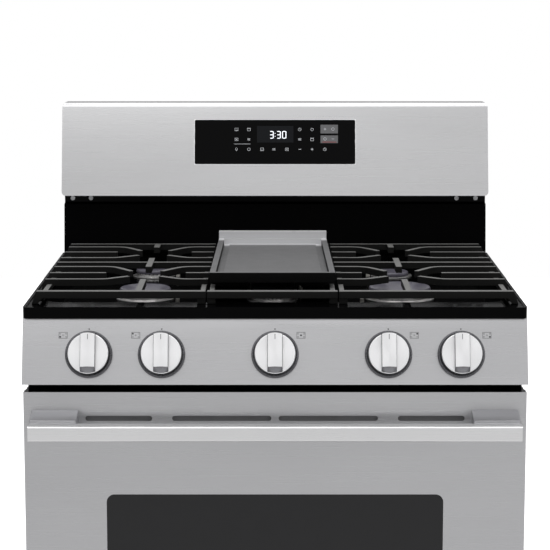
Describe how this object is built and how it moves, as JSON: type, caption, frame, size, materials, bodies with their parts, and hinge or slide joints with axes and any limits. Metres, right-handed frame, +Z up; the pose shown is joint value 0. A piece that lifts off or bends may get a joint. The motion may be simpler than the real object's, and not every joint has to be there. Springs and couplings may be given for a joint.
{
  "type": "freestanding gas range",
  "caption": "Freestanding gas range with a slanted knob panel, cast-iron grates, griddle, oven with bar-handled drop-down door, storage drawer and leaning backguard.",
  "frame": {"origin": "middle of the footprint, on the floor", "axes": "+Z up, +X to the right seen from the front, the front faces -Y"},
  "size_m": [0.758, 0.735, 1.193],
  "materials": {
    "panel_steel": "brushed along X, clear protective coat",
    "backguard_steel": "fine brushed, brighter top edge",
    "handle_steel": "satin bright",
    "bare_steel": "plain rolled steel",
    "galvanised": "galvanised sheet",
    "casing_paint": "textured grey baked paint",
    "base_paint": "satin black",
    "black_enamel": "glossy black porcelain enamel",
    "oven_enamel": "blue-black speckled porcelain enamel",
    "cast_iron": "matte black, fine cast grain",
    "griddle_iron": "grey, lightly coated cast surface",
    "burner_alloy": "bare cast alloy",
    "cap_enamel": "semi-matte grey enamel",
    "ceramic": "white glazed insulator",
    "insulation": "glass fibre blanket",
    "gasket": "woven glass fibre",
    "black_glass": "gloss black, opaque back print",
    "door_glass": "dark tinted heat glass",
    "lamp_glass": "frosted",
    "knob_satin": "satin silver",
    "bezel_dark": "dark chrome",
    "brass": "machined",
    "pipe": "zinc plated steel",
    "motor": "plated steel",
    "wire": "plated wire",
    "board": "circuit board",
    "black_plastic": "moulded",
    "fan_alloy": "pressed sheet",
    "foot_plastic": "moulded foot on a steel stud"
  },
  "bodies": {
    "root": {"side_panel_left": "casing_paint", "side_panel_right": "casing_paint", "rear_panel": "galvanised", "base_frame": "base_paint", "front_frame": "black_enamel", "oven_liner": "oven_enamel", "insulation": "insulation", "oven_floor": "oven_enamel", "bake_burner": "bare_steel", "broil_burner": "bare_steel", "fan_cover": "oven_enamel", "fan_motor": "motor", "oven_lamp": "lamp_glass", "temp_sensor": "bare_steel", "door_gasket": "gasket", "hinge_arms": "bare_steel", "cooktop": "black_enamel", "burner_heads": "burner_alloy", "burner_caps": "cap_enamel", "igniters": "ceramic", "control_panel": "panel_steel", "knob_bezels": "bezel_dark", "gas_manifold": "pipe", "gas_valves": "brass", "gas_regulator": "pipe", "vent_riser": "black_enamel", "backguard_panel": "backguard_steel", "backguard_housing": "galvanised", "control_glass": "black_glass", "control_board": "board", "power_inlet": "black_plastic", "screws": "bare_steel"},
    "door": {"door_skin": "panel_steel", "door_inner": "black_enamel", "door_glass": "door_glass", "door_handle": "handle_steel", "handle_mounts": "handle_steel"},
    "drawer": {"drawer_front": "panel_steel", "drawer_box": "base_paint"},
    "leg_front_left": {"leg_front_left": "foot_plastic"},
    "leg_front_right": {"leg_front_right": "foot_plastic"},
    "leg_rear_left": {"leg_rear_left": "foot_plastic"},
    "leg_rear_right": {"leg_rear_right": "foot_plastic"},
    "rack_lower": {"rack_lower": "wire"},
    "rack_upper": {"rack_upper": "wire"},
    "fan": {"fan_blade": "fan_alloy"},
    "grate_left": {"grate_left": "cast_iron"},
    "grate_centre": {"grate_centre": "cast_iron"},
    "grate_right": {"grate_right": "cast_iron"},
    "griddle": {"griddle": "griddle_iron"},
    "valve_stem_1": {"valve_stem_1": "brass"},
    "knob_1": {"knob_1": "knob_satin"},
    "valve_stem_2": {"valve_stem_2": "brass"},
    "knob_2": {"knob_2": "knob_satin"},
    "valve_stem_3": {"valve_stem_3": "brass"},
    "knob_3": {"knob_3": "knob_satin"},
    "valve_stem_4": {"valve_stem_4": "brass"},
    "knob_4": {"knob_4": "knob_satin"},
    "valve_stem_5": {"valve_stem_5": "brass"},
    "knob_5": {"knob_5": "knob_satin"}
  },
  "joints": [
    {"name": "door_hinge", "type": "hinge", "parent": "root", "child": "door", "pos_m": [0, -0.292, 0.236], "axis": [1, 0, 0], "range_deg": [0, 88]},
    {"name": "drawer_slide", "type": "slide", "parent": "root", "child": "drawer", "axis": [0, -1, 0], "range_m": [0, 0.38]},
    {"name": "leg_front_left_turn", "type": "hinge", "parent": "root", "child": "leg_front_left", "pos_m": [-0.338, -0.225, 0.02], "axis": [0, 0, 1], "continuous": true},
    {"name": "leg_front_right_turn", "type": "hinge", "parent": "root", "child": "leg_front_right", "pos_m": [0.338, -0.225, 0.02], "axis": [0, 0, 1], "continuous": true},
    {"name": "leg_rear_left_turn", "type": "hinge", "parent": "root", "child": "leg_rear_left", "pos_m": [-0.338, 0.3, 0.02], "axis": [0, 0, 1], "continuous": true},
    {"name": "leg_rear_right_turn", "type": "hinge", "parent": "root", "child": "leg_rear_right", "pos_m": [0.338, 0.3, 0.02], "axis": [0, 0, 1], "continuous": true},
    {"name": "rack_lower_slide", "type": "slide", "parent": "root", "child": "rack_lower", "axis": [0, -1, 0], "range_m": [0, 0.02]},
    {"name": "rack_upper_slide", "type": "slide", "parent": "root", "child": "rack_upper", "axis": [0, -1, 0], "range_m": [0, 0.02]},
    {"name": "fan_spin", "type": "hinge", "parent": "root", "child": "fan", "pos_m": [0, 0.215, 0.5], "axis": [0, -1, 0], "continuous": true},
    {"name": "grate_left_lift", "type": "slide", "parent": "root", "child": "grate_left", "axis": [0, 0, 1], "range_m": [0, 0.3]},
    {"name": "grate_centre_lift", "type": "slide", "parent": "root", "child": "grate_centre", "axis": [0, 0, 1], "range_m": [0, 0.3]},
    {"name": "grate_right_lift", "type": "slide", "parent": "root", "child": "grate_right", "axis": [0, 0, 1], "range_m": [0, 0.3]},
    {"name": "griddle_lift", "type": "slide", "parent": "grate_centre", "child": "griddle", "axis": [0, 0, 1], "range_m": [0, 0.3]},
    {"name": "knob_1_turn", "type": "hinge", "parent": "root", "child": "valve_stem_1", "pos_m": [-0.279, -0.30386, 0.8575], "axis": [0, -0.9542, 0.2991], "range_deg": [0, 240]},
    {"name": "knob_1_push", "type": "slide", "parent": "valve_stem_1", "child": "knob_1", "axis": [0, 0.9542, -0.2991], "range_m": [0, 0.003], "stiffness_N_per_m": 1500, "springref_m": -0.001},
    {"name": "knob_2_turn", "type": "hinge", "parent": "root", "child": "valve_stem_2", "pos_m": [-0.17, -0.30386, 0.8575], "axis": [0, -0.9542, 0.2991], "range_deg": [0, 240]},
    {"name": "knob_2_push", "type": "slide", "parent": "valve_stem_2", "child": "knob_2", "axis": [0, 0.9542, -0.2991], "range_m": [0, 0.003], "stiffness_N_per_m": 1500, "springref_m": -0.001},
    {"name": "knob_3_turn", "type": "hinge", "parent": "root", "child": "valve_stem_3", "pos_m": [0, -0.30386, 0.8575], "axis": [0, -0.9542, 0.2991], "range_deg": [0, 240]},
    {"name": "knob_3_push", "type": "slide", "parent": "valve_stem_3", "child": "knob_3", "axis": [0, 0.9542, -0.2991], "range_m": [0, 0.003], "stiffness_N_per_m": 1500, "springref_m": -0.001},
    {"name": "knob_4_turn", "type": "hinge", "parent": "root", "child": "valve_stem_4", "pos_m": [0.17, -0.30386, 0.8575], "axis": [0, -0.9542, 0.2991], "range_deg": [0, 240]},
    {"name": "knob_4_push", "type": "slide", "parent": "valve_stem_4", "child": "knob_4", "axis": [0, 0.9542, -0.2991], "range_m": [0, 0.003], "stiffness_N_per_m": 1500, "springref_m": -0.001},
    {"name": "knob_5_turn", "type": "hinge", "parent": "root", "child": "valve_stem_5", "pos_m": [0.279, -0.30386, 0.8575], "axis": [0, -0.9542, 0.2991], "range_deg": [0, 240]},
    {"name": "knob_5_push", "type": "slide", "parent": "valve_stem_5", "child": "knob_5", "axis": [0, 0.9542, -0.2991], "range_m": [0, 0.003], "stiffness_N_per_m": 1500, "springref_m": -0.001}
  ]
}
